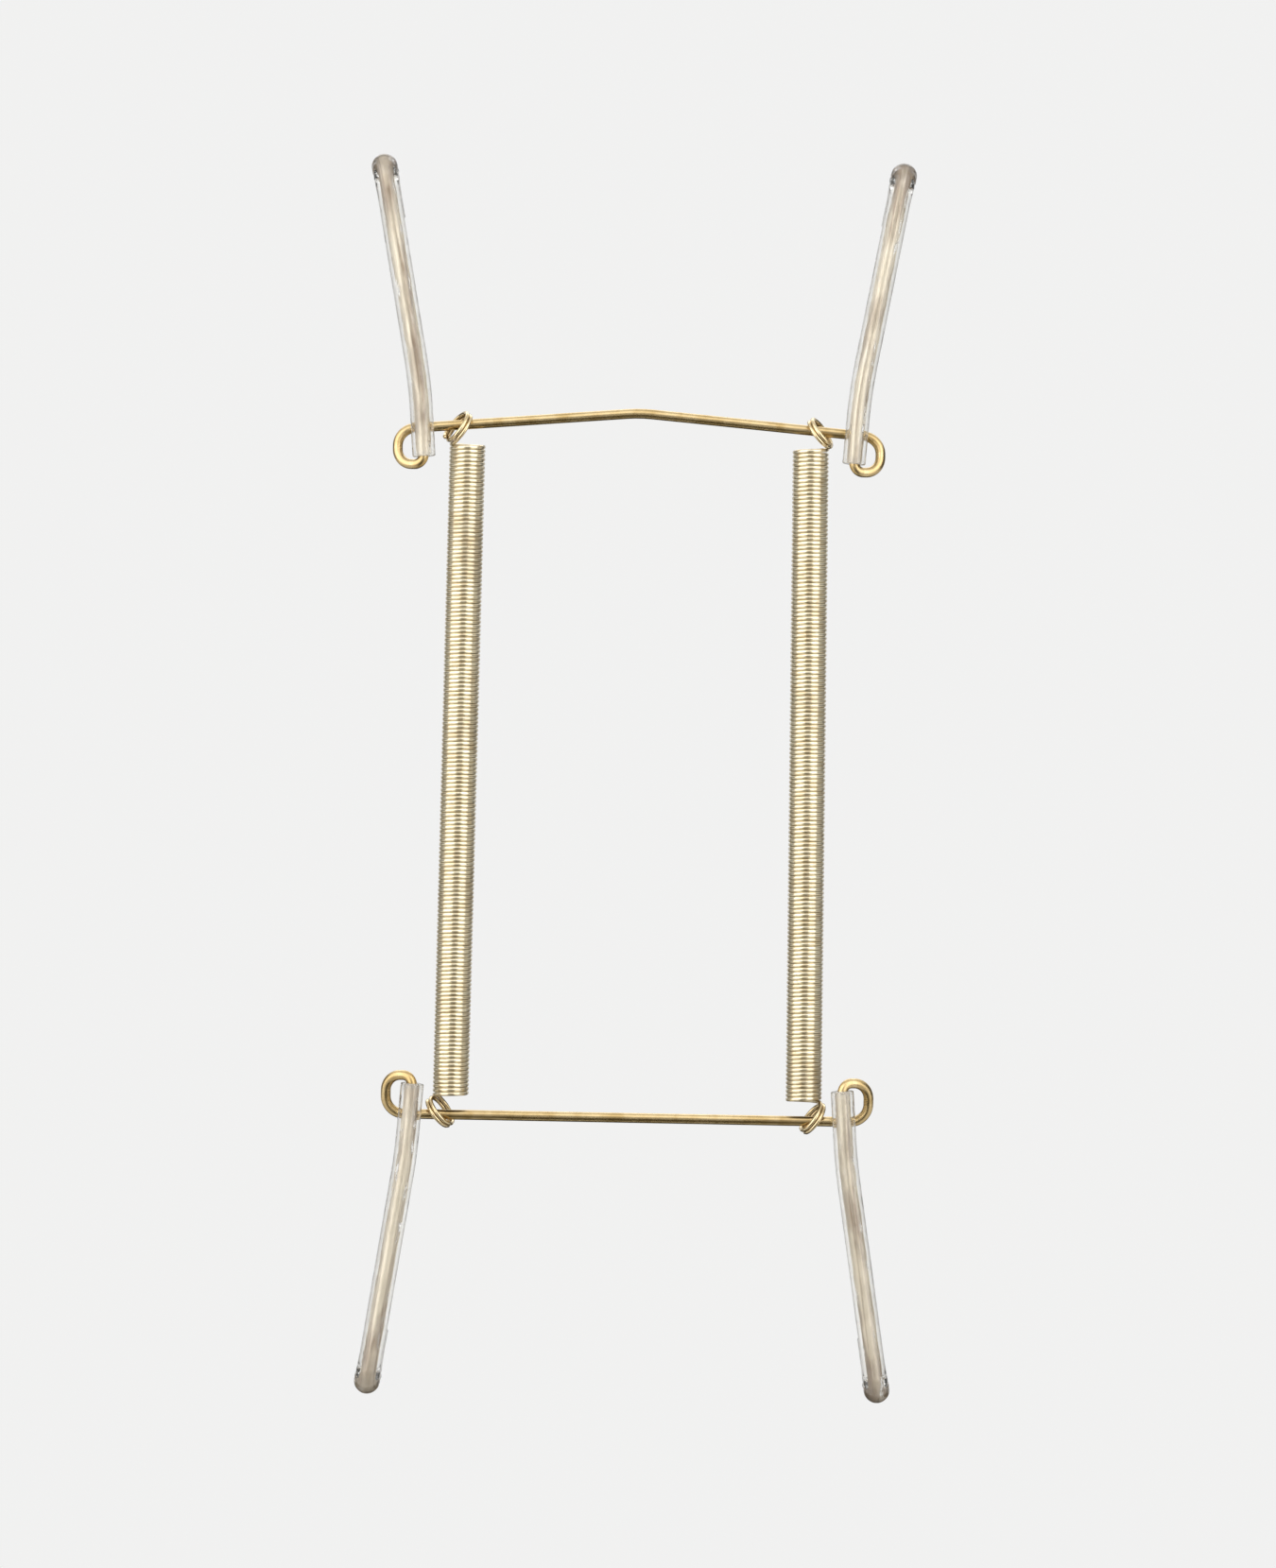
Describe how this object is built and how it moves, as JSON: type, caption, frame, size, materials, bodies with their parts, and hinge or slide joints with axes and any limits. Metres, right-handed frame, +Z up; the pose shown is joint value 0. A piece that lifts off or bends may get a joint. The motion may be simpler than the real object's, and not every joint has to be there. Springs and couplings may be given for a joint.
{
  "type": "wire plate hanger",
  "caption": "Brass-coloured wire plate hanger: upper and lower wire frames with clear-tubed rim hooks, joined by long close-wound springs, hung on a nail by the peak of its upper bar.",
  "frame": {"origin": "underside of the upper bar at its peak, where the wall nail carries the hanger", "axes": "+Z up, +X to the right as seen from the wall side, +Y from the wall towards the plate, the way the hooks turn"},
  "size_m": [0.0874, 0.0166, 0.1995],
  "materials": {
    "frame_wire": "satin brass-coloured plating on steel wire",
    "spring_wire": "bright brass-coloured plating on spring wire",
    "clear_tube": "clear soft vinyl"
  },
  "bodies": {
    "upper_frame": {"upper_wire": "frame_wire", "upper_left_sleeve": "clear_tube", "upper_right_sleeve": "clear_tube"},
    "spring_heads": {"left_spring": "spring_wire"},
    "spring_feet": {"right_spring": "spring_wire"},
    "lower_frame": {"lower_wire": "frame_wire", "lower_left_sleeve": "clear_tube", "lower_right_sleeve": "clear_tube"}
  },
  "joints": [
    {"name": "swing", "type": "hinge", "parent": "upper_frame", "child": "spring_heads", "pos_m": [0, 0, -0.00156], "axis": [1, 0, 0], "continuous": true},
    {"name": "stretch", "type": "slide", "parent": "spring_heads", "child": "spring_feet", "axis": [0, 0, -1], "range_m": [0, 0.155], "stiffness_N_per_m": 190, "springref_m": -0.032, "deforming": ["left_spring", "right_spring"]},
    {"name": "rock", "type": "hinge", "parent": "spring_feet", "child": "lower_frame", "pos_m": [0, 0, -0.11247], "axis": [1, 0, 0], "continuous": true}
  ]
}
